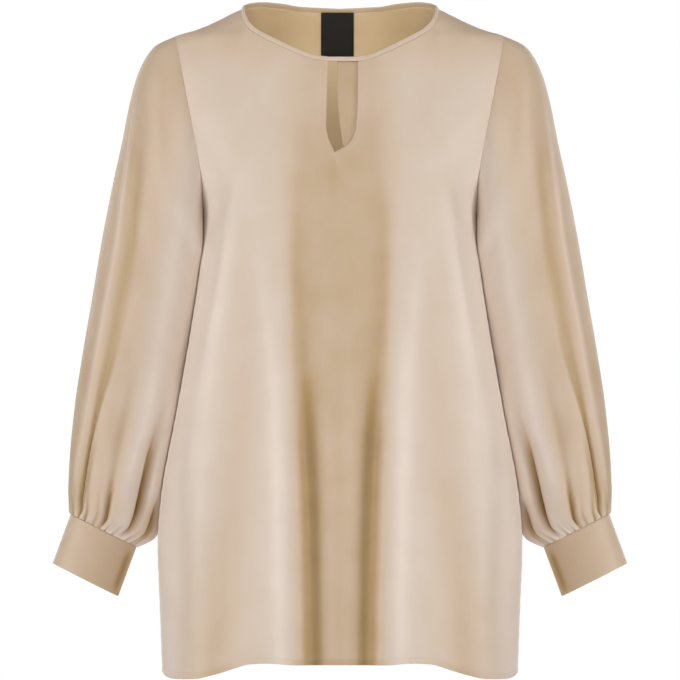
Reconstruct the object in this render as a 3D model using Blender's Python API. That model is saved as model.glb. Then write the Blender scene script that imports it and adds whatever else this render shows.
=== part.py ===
"""A loose long-sleeved blouse, filled out as if worn: every piece of cloth is a thin wall.

The front faces -Y, the wearer's left is +X and +Z is up. The origin lies between the two shoulder
seams, at the height of the neck's sides. Tables and sizes are in millimetres, meshes in metres.
A point of a panel is found from `across`, 0 at the centre to 1 at the side seam, and `rise`, 0 at
the hem to 1 at the top edge. A point of a sleeve is found from `along`, 0 at the armhole to 1 at the
cuff, and `turn`, an angle that starts at the sleeve's outer edge and goes round by the back.
"""

import collections

import bmesh
import bpy
import numpy as np

MM = 0.001

PANEL_WALL = 1.2
HEM_WALL = 2.2
SLEEVE_WALL = 1.4
CUFF_WALL = 2.4
BINDING_WALL = 2.4
BINDING_WIDTH = 6.0
SEAM = 0.3

FRONT, BACK = -1, 1
LEFT, RIGHT = 1, -1

NECK_COLUMNS, SHOULDER_COLUMNS = 12, 8
COLUMNS = NECK_COLUMNS + SHOULDER_COLUMNS
NECK_END = NECK_COLUMNS / COLUMNS

NECK_SIDE_HEIGHT = -7.0
SHOULDER_TIP_HEIGHT = -38.0
ARMPIT_HEIGHT = -245.0
FAN_START = 0.45
WIDTH_POWER, DEPTH_POWER = 2.3, 2.0

GATHERS = 24
GATHER_HEIGHT = 2.3
SLEEVE_CLEAR = 1.5


def table(columns, *rows):
    """A table as a dictionary of its named columns."""
    return dict(zip(columns.split(), np.array(rows, float).T))


# Cross-sections of the body: where the sides meet, and how far front and back stand out.
BODY = table(
    "height half_width front back",
    (0, 104, 34, 47),
    (-4, 110, 38, 50),
    (-7, 114, 39.5, 52),
    (-9, 119, 40.5, 54),
    (-20, 141, 46, 63),
    (-31, 167, 50, 72),
    (-38, 190, 53, 77),
    (-50, 198, 57, 84),
    (-80, 204, 70, 97),
    (-120, 201, 89, 107),
    (-165, 186, 108, 112.5),
    (-198, 172, 118.5, 114),
    (-225, 161.5, 124.5, 114.5),
    (-245, 158, 127.5, 114),
    (-308, 163, 131, 112),
    (-377, 172.5, 132, 111),
    (-470, 188.7, 133, 112),
    (-573, 207, 136, 117),
    (-625, 210.6, 138, 120),
    (-700, 208, 140, 124),
    (-780, 205, 142, 127),
)
ARMHOLE = table(
    "height width",
    (-38, 190),
    (-68, 184.5),
    (-118, 175),
    (-147, 169.3),
    (-193, 161),
    (-216, 158.5),
    (-245, 158),
)
# Each panel's neckline, from the centre to the shoulder seam.
FRONT_NECK = table(
    "part width height",
    (0.00, 0, -68),
    (0.13, 21, -66),
    (0.29, 47, -58.8),
    (0.46, 72, -48.8),
    (0.64, 97, -36),
    (0.77, 110, -24),
    (0.88, 113.6, -14),
    (1.00, 114, -7),
)
BACK_NECK = table(
    "part width height",
    (0.00, 0, -12.8),
    (0.34, 46, -10.2),
    (0.53, 71, -6.4),
    (0.73, 92, -4.2),
    (0.86, 104, -4.6),
    (1.00, 114, -7),
)
HEM = table(
    "width front back",
    (0, -753, -757),
    (80, -751.5, -757),
    (103, -755, -758),
    (124, -760, -760),
    (147, -767, -763),
    (170, -775, -768),
    (190, -776, -770),
    (205, -768, -768),
)
KEYHOLE = table(
    "height right_edge left_edge",
    (-68, 20.5, -13.5),
    (-110, 20.2, -15.2),
    (-143, 18.4, -15.8),
    (-158, 13.7, -13.0),
    (-166, 6.0, -9.4),
    (-173.3, -6.2, -6.2),
)
KEYHOLE_TIP = -173.3
KEYHOLE_EASE = 90.0

# Rows of points: heights down the side seam, and angles up the armhole from the armpit.
SIDE_ROWS = (-768, -761, -710, -645, -580, -515, -450, -390, -330, -285)
ARMHOLE_ROWS = (180, 165, 150, 135, 120, 105, 90, 83, 75, 60, 45, 30, 15, 0)
KEYHOLE_ROW = 90

# Soft folds that grow from `top` to the hem. Each crest leans from `top_width` to `hem_width`.
FRONT_FOLDS = table(
    "top top_width hem_width inner_spread outer_spread lift",
    (-215, 66, 49, 15, 38, 17),
    (-190, 124, 182, 20, 13, 6),
)
BACK_FOLDS = table(
    "top top_width hem_width inner_spread outer_spread lift",
    (-230, 0, 0, 26, 26, 8),
    (-200, 68, 84, 22, 26, 10),
    (-190, 122, 165, 18, 15, 5),
)

# Sections of a sleeve: its outer and inner edge from the front, and its reach to front and back.
SLEEVE = table(
    "along outer_x outer_z inner_x inner_z centre_y reach",
    (0.000, 190, -38, 158, -245, -3, 63),
    (0.040, 214, -50, 155.5, -262, 2, 65),
    (0.096, 232, -78, 153, -285, 10, 66),
    (0.162, 243, -115, 153, -310, 18, 67),
    (0.235, 252, -160, 155, -335, 25, 66),
    (0.311, 262, -205, 158, -362, 31, 65),
    (0.409, 274, -265, 164, -395, 37, 64),
    (0.530, 286, -335, 172, -440, 42, 64),
    (0.655, 298, -405, 181, -490, 45, 65),
    (0.765, 307, -465, 190, -535, 46, 66),
    (0.880, 313, -530, 201, -580, 46, 63),
    (0.942, 314, -562, 208, -606, 45, 55),
    (0.970, 313, -577, 214.5, -618, 44, 47),
    (1.000, 309.5, -591, 235.6, -628.5, 43, 31),
)
SLEEVE_LENGTH = 484.0
ARMHOLE_FADE = 0.16
# Deeper tucks among the gathers: where they end at the cuff, how far they lean, and their reach.
TUCKS = table(
    "turn lean depth spread reach",
    (-48, 9, 6.0, 8, 95),
    (-88, 5, 6.5, 9, 110),
    (-128, -6, 8.0, 9, 140),
    (62, -6, 6.0, 9, 100),
    (104, 4, 7.0, 9, 130),
    (146, 7, 6.0, 8, 90),
)

# Rows of points round a sleeve, fewer where it is plain.
SLEEVE_ROWS = table(
    "to_cuff points",
    (0, 96),
    (7, 96),
    (20, 96),
    (40, 96),
    (64, 48),
    (96, 48),
    (136, 48),
    (186, 48),
    (242, 48),
    (300, 48),
    (350, 24),
    (395, 24),
    (432, 24),
    (462, 24),
    (484, 24),
)

CUFF_LENGTH = 60.8
CUFF_LEAN = (0.347, -0.938)
CUFF_PLANE = np.array((-0.452, 0, 0.892))
CUFF_POINTS = 48

# The binding's section: up from the neckline's edge, and out from the panels' outer face.
BINDING_PROFILE = table(
    "up out",
    (SEAM * 1.5, 0.5),
    (BINDING_WIDTH - 0.8, 0.5),
    (BINDING_WIDTH, -0.2),
    (BINDING_WIDTH, -1.2),
    (BINDING_WIDTH - 0.8, 0.5 - BINDING_WALL),
    (SEAM * 1.5, 0.5 - BINDING_WALL),
)

UNDERLAP = table(
    "height free_edge hidden_edge",
    (-69, -3.0, 30),
    (-100, -3.0, 30),
    (-127, -1.4, 28),
    (-150, 1.2, 24),
    (-166, 3.6, 16),
)
LABEL_LEFT, LABEL_RIGHT = -22.0, 16.0
LABEL_TOP, LABEL_BOTTOM = -10.0, -61.0

CLOTH_COLOUR = (0.60, 0.47, 0.34, 1)
INSIDE_COLOUR = (0.52, 0.40, 0.27, 1)
LABEL_COLOUR = (0.01, 0.01, 0.012, 1)


def curve(rows, key, column, at):
    """A column's value anywhere along another one, on a smooth curve that never overshoots."""
    order = np.argsort(rows[key])
    x, y = rows[key][order], rows[column][order]
    at = np.clip(at, x[0], x[-1])
    step = np.diff(x)
    slope = np.diff(y) / step
    product = slope[:-1] * slope[1:]
    total = np.where(product > 0, slope[:-1] + slope[1:], 1)
    inner = np.where(product > 0, 2 * product / total, 0)
    tangent = np.concatenate([slope[:1], inner, slope[-1:]])
    i = np.clip(np.searchsorted(x, at) - 1, 0, len(step) - 1)
    t = (at - x[i]) / step[i]
    rise = y[i + 1] - y[i]
    start, end = tangent[i] * step[i], tangent[i + 1] * step[i]
    return y[i] + t * (start + t * (3 * rise - 2 * start - end + t * (start + end - 2 * rise)))


def ease(t):
    """0 to 1 with a soft start and end."""
    t = np.clip(t, 0, 1)
    return t * t * (3 - 2 * t)


def unit(vectors):
    return vectors / np.linalg.norm(vectors, axis=-1, keepdims=True)


# The body


def edge_width(height):
    """Half the width at the panels' side edge: the side seam, or the armhole above it."""
    side = curve(BODY, "height", "half_width", height)
    armhole = curve(ARMHOLE, "height", "width", height)
    return np.where(height < ARMPIT_HEIGHT, side, armhole)


def fold_lift(rows, width, height):
    """How far the folds push the cloth out at a place."""
    lift = np.zeros(np.broadcast(width, height).shape)
    bottom = HEM["front"].min()
    for i in range(len(rows["top"])):
        fallen = np.clip((rows["top"][i] - height) / (rows["top"][i] - bottom), 0, 1)
        crest = rows["top_width"][i] + (rows["hem_width"][i] - rows["top_width"][i]) * fallen**0.8
        spread = np.where(np.abs(width) < crest, rows["inner_spread"][i], rows["outer_spread"][i])
        shape = np.exp(-(((np.abs(width) - crest) / spread) ** 2))
        lift += rows["lift"][i] * ease(fallen * 1.35) * shape
    return lift


def depth(face, width, height):
    """How far a panel stands out from the plane of the side seams."""
    column, rows = ("front", FRONT_FOLDS) if face == FRONT else ("back", BACK_FOLDS)
    ratio = np.clip(np.abs(width) / curve(BODY, "height", "half_width", height), 0, 1)
    full = curve(BODY, "height", column, height)
    plain = full * (1 - ratio**WIDTH_POWER) ** (1 / DEPTH_POWER)
    return plain + fold_lift(rows, width, height) * (1 - ratio**8) + SEAM / 2


def armhole_height(turn):
    """The height of the armhole's seam, from the shoulder tip (turn 0) to the armpit (turn pi)."""
    middle = (SHOULDER_TIP_HEIGHT + ARMPIT_HEIGHT) / 2
    return middle + (SHOULDER_TIP_HEIGHT - middle) * np.cos(turn)


def top_edge(face, across):
    """Half the width and the height of a panel's top edge: its neckline, then its shoulder."""
    rows = FRONT_NECK if face == FRONT else BACK_NECK
    neck = np.clip(across / NECK_END, 0, 1)
    shoulder = np.clip((across - NECK_END) / (1 - NECK_END), 0, 1)
    shoulder_height = NECK_SIDE_HEIGHT + (SHOULDER_TIP_HEIGHT - NECK_SIDE_HEIGHT) * shoulder
    on_neck = across < NECK_END
    height = np.where(on_neck, curve(rows, "part", "height", neck), shoulder_height)
    shoulder_width = curve(BODY, "height", "half_width", shoulder_height)
    width = np.where(on_neck, curve(rows, "part", "width", neck), shoulder_width)
    return width, height


def keyhole_shift(side, width, height):
    """How far the cloth beside the slit moves aside, and below it back to the centre."""
    edge = curve(KEYHOLE, "height", "right_edge" if side == LEFT else "left_edge", height)
    below = ease((height - KEYHOLE_TIP) / KEYHOLE_EASE + 1)
    near = np.clip(1 - np.abs(width) / KEYHOLE_EASE, 0, 1) ** 2
    return edge * below * near


def rise_at(side_height):
    """The row whose side end is at this height."""
    return (side_height - SIDE_ROWS[0]) / (SHOULDER_TIP_HEIGHT - SIDE_ROWS[0])


def panel_points(face, side, across, rise):
    """Points on the outer face of a panel's half."""
    column = "front" if face == FRONT else "back"
    spread = np.sin(across * np.pi / 2)
    hem = curve(HEM, "width", column, HEM["width"][-1] * spread)
    top_width, top = top_edge(face, across)
    height = hem + (top - hem) * rise + (keyhole_row_shift(across, rise) if face == FRONT else 0)
    top_part = top_width / edge_width(top)
    fan = ease((rise - FAN_START) / (1 - FAN_START))
    x = side * edge_width(height) * (spread + (top_part - spread) * fan)
    if face == FRONT:
        x = x + keyhole_shift(side, x, height)
    return np.stack([x, face * depth(face, x, height), height + 0 * x], axis=-1)


def keyhole_row_shift(across, rise):
    """Brings one row to the height of the keyhole's tip at the centre."""
    row = rise_at(armhole_height(np.radians(KEYHOLE_ROW)))
    bottom, top = HEM["front"][0], FRONT_NECK["height"][0]
    wanted = KEYHOLE_TIP - (bottom + (top - bottom) * row)
    near = np.where(rise < row, rise / row, (1 - rise) / (1 - row))
    return wanted * ease(near) * ease(1 - 2 * across)


def panel_normals(face, points):
    """Normals that point out of the garment, from the slope of the squared depth."""
    x, height = points[..., 0], points[..., 2]
    step = 0.02

    def squared(a, b):
        return depth(face, a, b) ** 2

    slope_x = (squared(x + step, height) - squared(x - step, height)) / (2 * step)
    slope_z = (squared(x, height + step) - squared(x, height - step)) / (2 * step)
    return unit(np.stack([-slope_x, 2 * points[..., 1], -slope_z], axis=-1))


def panel_rises():
    armhole = armhole_height(np.radians(ARMHOLE_ROWS))
    return rise_at(np.concatenate([SIDE_ROWS, armhole]))


def panel_wall(rise):
    """The wall's thickness: the turned hem is doubled."""
    return np.where(rise <= rise_at(SIDE_ROWS[1]), HEM_WALL, PANEL_WALL)


def half_panel(face, side):
    """Outer points, inner points and faces of one half of a panel."""
    across, rise = np.meshgrid(np.arange(COLUMNS + 1) / COLUMNS, panel_rises())
    outer = panel_points(face, side, across, rise)
    inner = outer - panel_normals(face, outer) * panel_wall(rise)[..., None]
    index = np.arange(across.size).reshape(across.shape)
    return outer.reshape(-1, 3), inner.reshape(-1, 3), grid_faces(index)


def make_panel(name, face):
    halves = [half_panel(face, LEFT), half_panel(face, RIGHT)]
    outer = np.concatenate([half[0] for half in halves])
    inner = np.concatenate([half[1] for half in halves])
    shift = len(halves[0][0])
    faces = halves[0][2] + [tuple(i + shift for i in face) for face in halves[1][2]]
    make_wall(name, outer, inner, faces, CLOTH_COLOUR)


# The sleeves


def body_width_at(y, height):
    """Half the body's width at a place between its front and back."""
    front, back = (curve(BODY, "height", name, height) for name in ("front", "back"))
    ratio = np.clip(np.abs(y) / np.where(y < 0, front, back), 0, 1)
    part = (1 - ratio**DEPTH_POWER) ** (1 / WIDTH_POWER)
    return curve(BODY, "height", "half_width", height) * part


def kept_clear(x, y, height):
    """Moves a sleeve's point out from the body's side, where it would touch it."""
    limit = body_width_at(y, height) + SLEEVE_CLEAR
    softness = 1.5
    pushed = limit + softness * np.logaddexp(0, (x - limit) / softness)
    return x + (pushed - x) * ease((ARMPIT_HEIGHT - height) / 14)


def sleeve_section(turn, along):
    """A section's centre, and its plain oval's points from there, between the sleeve's edges."""
    outer_x, outer_z, inner_x, inner_z, centre_y, reach = (
        curve(SLEEVE, "along", name, along)
        for name in ("outer_x", "outer_z", "inner_x", "inner_z", "centre_y", "reach")
    )
    centre = np.stack([(outer_x + inner_x) / 2, centre_y, (outer_z + inner_z) / 2], axis=-1)
    x = (outer_x - inner_x) / 2 * np.cos(turn)
    z = (outer_z - inner_z) / 2 * np.cos(turn)
    return centre, np.stack([x, reach * np.sin(turn), z], axis=-1)


def armhole_edge(turn):
    """The panels' outer edge round the armhole."""
    height = armhole_height(turn)
    width = curve(ARMHOLE, "height", "width", height)
    y = np.where(np.sin(turn) < 0, -depth(FRONT, width, height), depth(BACK, width, height))
    return np.stack([width, np.where(np.abs(np.sin(turn)) < 1e-6, 0, y), height], axis=-1)


def armhole_frame(turn):
    """Directions at the armhole: out of the cloth, on past its edge, and how far the sleeve folds."""
    edge = armhole_edge(turn)
    in_front = (np.sin(turn) < 0)[..., None]
    normal = np.where(in_front, panel_normals(FRONT, edge), panel_normals(BACK, edge))
    seam = unit(armhole_edge(turn + 0.02) - armhole_edge(turn - 0.02))
    onward = unit(np.cross(seam, normal))
    onward *= np.sign(onward @ np.array((1, 0, 0.3)))[..., None]
    low = np.abs((turn + np.pi) % (2 * np.pi) - np.pi) / np.pi
    fold = np.pi * np.clip(1.2 * low - 0.2, 0, 1) ** 1.5
    return normal, onward, fold[..., None]


def armhole_offset(turn):
    """From the plain oval at the armhole to the place beside the panels' edge."""
    centre, oval = sleeve_section(turn, np.zeros(np.shape(turn)))
    normal, onward, fold = armhole_frame(turn)
    gap = (onward * np.cos(fold / 2) + normal * np.sin(fold / 2)) * SEAM * 1.2
    return armhole_edge(turn) + gap - centre - oval


def uneven(turn, along):
    """Spaces the gathers unevenly near the cuff."""
    shift = 0.05 * np.sin(3 * turn + 0.6) + 0.035 * np.sin(7 * turn + 2.1)
    return turn + shift * ease(along * 2 - 1)


def tuck_depth(turn, along):
    """How far the deeper tucks draw the cloth in."""
    total = np.zeros(np.broadcast(turn, along).shape)
    to_cuff = (1 - along) * SLEEVE_LENGTH
    for i in range(len(TUCKS["turn"])):
        reach = TUCKS["reach"][i]
        line = np.radians(TUCKS["turn"][i] + TUCKS["lean"][i] * to_cuff / reach)
        apart = np.angle(np.exp(1j * (turn - line)))
        shape = np.exp(-((apart / np.radians(TUCKS["spread"][i])) ** 2))
        grown = ease(to_cuff / 30 + 0.15) * ease(1.15 - to_cuff / reach)
        total += TUCKS["depth"][i] * shape * grown
    return total


def sleeve_points(turn, along):
    """Points on the outer face of the left sleeve, without its gathers."""
    turn = uneven(turn, along)
    centre, oval = sleeve_section(turn, along)
    narrowed = 1 - tuck_depth(turn, along) / np.linalg.norm(oval, axis=-1)
    fade = np.clip(1 - along / ARMHOLE_FADE, 0, 1) ** 2
    points = centre + oval * narrowed[..., None] + armhole_offset(turn) * fade[..., None]
    x, y, z = np.moveaxis(points, -1, 0)
    return np.stack([kept_clear(x, y, z), y, z], axis=-1)


def gather_lift(turn, along):
    """The small gathers that run up from the cuff, some further than others."""
    to_cuff = (1 - along) * SLEEVE_LENGTH
    reach = 26 + 12 * np.sin(5 * turn + 0.7) + 8 * np.sin(2 * turn + 2)
    height = GATHER_HEIGHT * (0.4 + 0.6 * ease(to_cuff / 9))
    return height * np.exp(-to_cuff / reach) * np.cos(GATHERS * turn)


def sleeve_frame(turn, along):
    """The left sleeve's points and outward normals, which lie level with the seam at the cuff."""
    step = 1e-4
    low, high = np.clip(along - step, 0, 1), np.clip(along + step, 0, 1)
    down = sleeve_points(turn, high) - sleeve_points(turn, low)
    around = sleeve_points(turn + step, along) - sleeve_points(turn - step, along)
    normals = unit(np.cross(down, around))
    level = ease(1 - (1 - along) * SLEEVE_LENGTH / 10)[..., None]
    normals = unit(normals - (normals @ CUFF_PLANE)[..., None] * CUFF_PLANE * level)
    return sleeve_points(turn, along), normals


def armhole_turns():
    back = np.radians(ARMHOLE_ROWS[::-1])
    return np.concatenate([back, 2 * np.pi - back[-2:0:-1]])


def even_turns(count):
    return np.arange(count) * 2 * np.pi / count


def bridge(lower, upper, first_lower, first_upper):
    """Triangles between two closed rings of points, given each ring's angles and its first number."""
    lower_ends = np.concatenate([lower[1:], [lower[0] + 2 * np.pi, np.inf]])
    upper_ends = np.concatenate([upper[1:], [upper[0] + 2 * np.pi, np.inf]])
    faces = []
    i = j = 0
    while i < len(lower) or j < len(upper):
        a, b = first_lower + i % len(lower), first_upper + j % len(upper)
        if lower_ends[i] <= upper_ends[j]:
            i += 1
            faces.append((a, first_lower + i % len(lower), b))
        else:
            j += 1
            faces.append((a, first_upper + j % len(upper), b))
    return faces


def make_tube(name, side, rings, colour):
    """A tube's wall from its rings, each with angles, outer points and inner points."""
    outer = np.concatenate([ring[1] for ring in rings]) * (side, 1, 1)
    inner = np.concatenate([ring[2] for ring in rings]) * (side, 1, 1)
    faces, first = [], 0
    for lower, upper in zip(rings[:-1], rings[1:]):
        following = first + len(lower[0])
        faces += bridge(lower[0], upper[0], first, following)
        first = following
    make_wall(name, outer, inner, faces, colour)


def make_sleeve(name, side):
    """A sleeve from its armhole to the cuff. Its gathers need more points round, near the cuff."""
    rings = []
    for to_cuff, count in zip(SLEEVE_ROWS["to_cuff"], SLEEVE_ROWS["points"].astype(int)):
        at_armhole = to_cuff == SLEEVE_LENGTH
        turn = armhole_turns() if at_armhole else even_turns(count)
        along = np.full(len(turn), 1 - to_cuff / SLEEVE_LENGTH)
        points, normals = sleeve_frame(turn, along)
        if at_armhole:
            out, onward, fold = armhole_frame(turn)
            normals = out * np.cos(fold) - onward * np.sin(fold)
        lift = gather_lift(turn, along)[:, None]
        rings.append((turn, points + normals * lift, points + normals * (lift - SLEEVE_WALL)))
    make_tube(name, side, rings, CLOTH_COLOUR)


def make_cuff(name, side):
    """A doubled band, which leans a little outwards on its way down."""
    turn = even_turns(CUFF_POINTS)
    top, oval = sleeve_section(turn, np.ones(CUFF_POINTS))
    inside = oval * (1 - CUFF_WALL / np.linalg.norm(oval, axis=-1, keepdims=True))
    lean = np.array((CUFF_LEAN[0], 0, CUFF_LEAN[1]))
    rings = []
    for down in (SEAM, CUFF_LENGTH / 2, CUFF_LENGTH):
        rings.append((turn, top + lean * down + oval, top + lean * down + inside))
    make_tube(name, side, rings, CLOTH_COLOUR)


# Neck binding, the strip in the keyhole and the label


def neckline(face, side):
    """Points and normals along half of a panel's neckline, from the centre to the shoulder seam."""
    across = np.arange(NECK_COLUMNS + 1) / COLUMNS
    points = panel_points(face, side, across, np.ones(len(across)))
    return points, panel_normals(face, points)


def over_keyhole():
    """The neckline's missing stretch, straight on from one side of the slit to the other."""
    x = np.linspace(KEYHOLE["left_edge"][0], KEYHOLE["right_edge"][0], 5)[1:-1]
    height = np.full(len(x), FRONT_NECK["height"][0])
    return np.stack([x, -depth(FRONT, x, height), height], axis=-1)


def neck_ring():
    """The whole neckline as a closed ring: its points, outward normals and upward directions."""
    front_left, front_right = neckline(FRONT, LEFT), neckline(FRONT, RIGHT)
    back_left, back_right = neckline(BACK, LEFT), neckline(BACK, RIGHT)
    slit = over_keyhole()
    slit_normals = np.repeat((front_left[1][:1] + front_right[1][:1]) / 2, len(slit), axis=0)
    stretches = (
        (slit, slit_normals),
        tuple(part[:-1] for part in front_left),
        tuple(part[::-1] for part in back_left),
        tuple(part[1:] for part in back_right),
        tuple(part[-2::-1] for part in front_right),
    )
    points = np.concatenate([stretch[0] for stretch in stretches])
    normals = np.concatenate([stretch[1] for stretch in stretches])
    points[np.abs(points[:, 1]) <= SEAM, 1] = 0
    tangents = unit(np.roll(points, -1, axis=0) - np.roll(points, 1, axis=0))
    upwards = unit(np.cross(normals, tangents))
    towards = np.array((0, 0, 60)) - points
    upwards *= np.sign(np.sum(upwards * towards, axis=1, keepdims=True))
    return points, unit(normals), upwards


def make_binding():
    points, normals, upwards = neck_ring()
    rings, faces = [], []
    for i in range(len(BINDING_PROFILE["up"])):
        up, out = BINDING_PROFILE["up"][i], BINDING_PROFILE["out"][i]
        rings.append(points + upwards * up + normals * out)
    around, count = len(rings), len(points)
    for k in range(around):
        for i in range(count):
            a, b = k * count + i, k * count + (i + 1) % count
            c, d = (k + 1) % around * count + (i + 1) % count, (k + 1) % around * count + i
            faces += [(a, b, c), (a, c, d)]
    make_solid("neck_binding", np.concatenate(rings), faces, CLOTH_COLOUR)


def make_patch(name, face, x, height, offset, wall, colour):
    """A piece that lies inside a panel, made from the panel's own surface."""
    points = np.stack([x, face * depth(face, x, height), height], axis=-1)
    normals = panel_normals(face, points)
    outer = (points - normals * offset).reshape(-1, 3)
    inner = (points - normals * (offset + wall)).reshape(-1, 3)
    index = np.arange(x.size).reshape(x.shape)
    make_wall(name, outer, inner, grid_faces(index), colour)


def make_underlap():
    part, height = np.meshgrid(np.linspace(0, 1, 4), UNDERLAP["height"])
    free = curve(UNDERLAP, "height", "free_edge", height)
    hidden = curve(UNDERLAP, "height", "hidden_edge", height)
    x = free + (hidden - free) * part
    make_patch("keyhole_underlap", FRONT, x, height, 1.7, PANEL_WALL, INSIDE_COLOUR)


def make_label():
    columns = np.linspace(LABEL_LEFT, LABEL_RIGHT, 5)
    rows = np.linspace(LABEL_TOP, LABEL_BOTTOM, 7)
    x, height = np.meshgrid(columns, rows)
    make_patch("neck_label", BACK, x, height, 2.6, 1.0, LABEL_COLOUR)


# Meshes


def grid_faces(index):
    """Two triangles for each cell of a grid of point numbers."""
    faces = []
    for r in range(index.shape[0] - 1):
        for c in range(index.shape[1] - 1):
            corner, opposite = index[r, c], index[r + 1, c + 1]
            faces.append((corner, index[r, c + 1], opposite))
            faces.append((corner, opposite, index[r + 1, c]))
    return faces


def make_wall(name, outer, inner, faces, colour):
    """A closed solid from a wall's two faces, joined along every open edge."""
    _, first, index = np.unique(np.round(outer, 4), axis=0, return_index=True, return_inverse=True)
    index = index.reshape(-1)
    faces = [tuple(int(index[i]) for i in face) for face in faces]
    shift = len(first)
    sides = [pair for face in faces for pair in zip(face, face[1:] + face[:1])]
    uses = collections.Counter(frozenset(pair) for pair in sides)
    solid = list(faces)
    solid += [tuple(i + shift for i in reversed(face)) for face in faces]
    solid += [(b, a, a + shift, b + shift) for a, b in sides if uses[frozenset((a, b))] == 1]
    make_solid(name, np.concatenate([outer[first], inner[first]]), solid, colour)


def make_solid(name, points, faces, colour):
    mesh = bpy.data.meshes.new(name)
    mesh.from_pydata((points * MM).tolist(), [], faces)
    shape = bmesh.new()
    shape.from_mesh(mesh)
    bmesh.ops.recalc_face_normals(shape, faces=shape.faces)
    shape.to_mesh(mesh)
    shape.free()
    mesh.shade_smooth()
    mesh.set_sharp_from_angle(angle=np.radians(50))
    mesh.materials.append(make_material(name, colour))
    bpy.context.scene.collection.objects.link(bpy.data.objects.new(name, mesh))


def make_material(name, colour):
    material = bpy.data.materials.new(name)
    material.use_nodes = True
    shader = material.node_tree.nodes["Principled BSDF"]
    shader.inputs["Base Color"].default_value = colour
    shader.inputs["Roughness"].default_value = 0.55
    shader.inputs["Metallic"].default_value = 0.0
    return material


def clear_scene():
    for item in list(bpy.data.objects):
        bpy.data.objects.remove(item, do_unlink=True)


clear_scene()
make_panel("front_panel", FRONT)
make_panel("back_panel", BACK)
make_sleeve("sleeve_left", LEFT)
make_sleeve("sleeve_right", RIGHT)
make_cuff("cuff_left", LEFT)
make_cuff("cuff_right", RIGHT)
make_binding()
make_underlap()
make_label()
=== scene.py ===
"""The looks of the loose long-sleeved blouse: fine cloth shells in place of its plain solids.

The front faces -Y, the wearer's left is +X and +Z is up. The origin is midway between the tops of
the two shoulder seams and 7 mm above them. Tables and sizes are in millimetres, meshes in metres.
A point of a panel is found from `across`, 0 at the centre to 1 at the side seam, and `rise`, 0 at
the hem to 1 at the top edge. A point of a sleeve is found from `along`, 0 at the armhole to 1 at the
cuff, and `turn`, an angle that starts at the sleeve's outer edge and goes round by the back.
"""

import bmesh
import bpy
import numpy as np
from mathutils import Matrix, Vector


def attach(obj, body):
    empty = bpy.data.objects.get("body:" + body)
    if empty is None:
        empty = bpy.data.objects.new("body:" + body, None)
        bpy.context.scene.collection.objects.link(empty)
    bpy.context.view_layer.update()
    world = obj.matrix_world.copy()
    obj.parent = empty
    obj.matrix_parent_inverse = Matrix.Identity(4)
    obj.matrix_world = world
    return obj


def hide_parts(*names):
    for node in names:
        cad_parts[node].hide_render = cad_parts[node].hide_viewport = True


MM = 0.001
# How many millimetres of cloth one unit of its texture coordinates stands for.
UV_UNIT = 10.0

PANEL_WALL, SLEEVE_WALL, CUFF_WALL = 0.8, 0.8, 2.2
UNDERLAP_WALL, LABEL_WALL = 0.8, 0.6
SEAM = 0.3

FRONT, BACK = -1, 1
LEFT, RIGHT = 1, -1
SIDES = {"left": LEFT, "right": RIGHT}

NECK_END = 0.6
NECK_SIDE_HEIGHT = -7.0
SHOULDER_TIP_HEIGHT = -38.0
ARMPIT_HEIGHT = -245.0
SIDE_END = -772.0
FAN_START = 0.45
WIDTH_POWER, DEPTH_POWER = 2.3, 2.0

GATHERS = 24
GATHER_HEIGHT = 2.3
SLEEVE_CLEAR = 0.4

# How fine the grids are. Rows near the hem are parts of a panel's usual height.
NECK_COLUMNS, SHOULDER_COLUMNS = 52, 32
SLEEVE_COLUMNS, CUFF_COLUMNS = 240, 160
PANEL_HEIGHT = 730
# How far a seam's roll reaches, and where the creases begin to die out beside it.
SIDE_ROLL, SHOULDER_ROLL, SLEEVE_ROLL = 0.8, 1.2, 2.6
SEAM_CALM = 9
# So far from an edge that none of its stitches shows.
FAR = 99
# The step over which slopes are measured.
SLOPE_STEP = 0.02


def table(columns, *rows):
    """A table as a dictionary of its named columns."""
    return dict(zip(columns.split(), np.array(rows, float).T))


# Cross-sections of the body: where the sides meet, and how far front and back stand out.
BODY = table(
    "height half_width front back",
    (0, 104, 34, 47),
    (-4, 110, 38, 50),
    (-7, 114, 39.5, 52),
    (-9, 119, 40.5, 54),
    (-20, 141, 46, 63),
    (-31, 167, 50, 72),
    (-38, 190, 53, 77),
    (-50, 198, 57, 84),
    (-80, 204, 70, 97),
    (-120, 201, 89, 107),
    (-165, 186, 108, 112.5),
    (-198, 172, 118.5, 114),
    (-225, 161.5, 124.5, 114.5),
    (-245, 158, 127.5, 114),
    (-308, 163, 131, 112),
    (-377, 172.5, 132, 111),
    (-470, 188.7, 133, 112),
    (-573, 207, 136, 117),
    (-625, 210.6, 138, 120),
    (-700, 208, 140, 124),
    (-780, 205, 142, 127),
)
ARMHOLE = table(
    "height width",
    (-38, 190),
    (-68, 184.5),
    (-118, 175),
    (-147, 169.3),
    (-193, 161),
    (-216, 158.5),
    (-245, 158),
)
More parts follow.
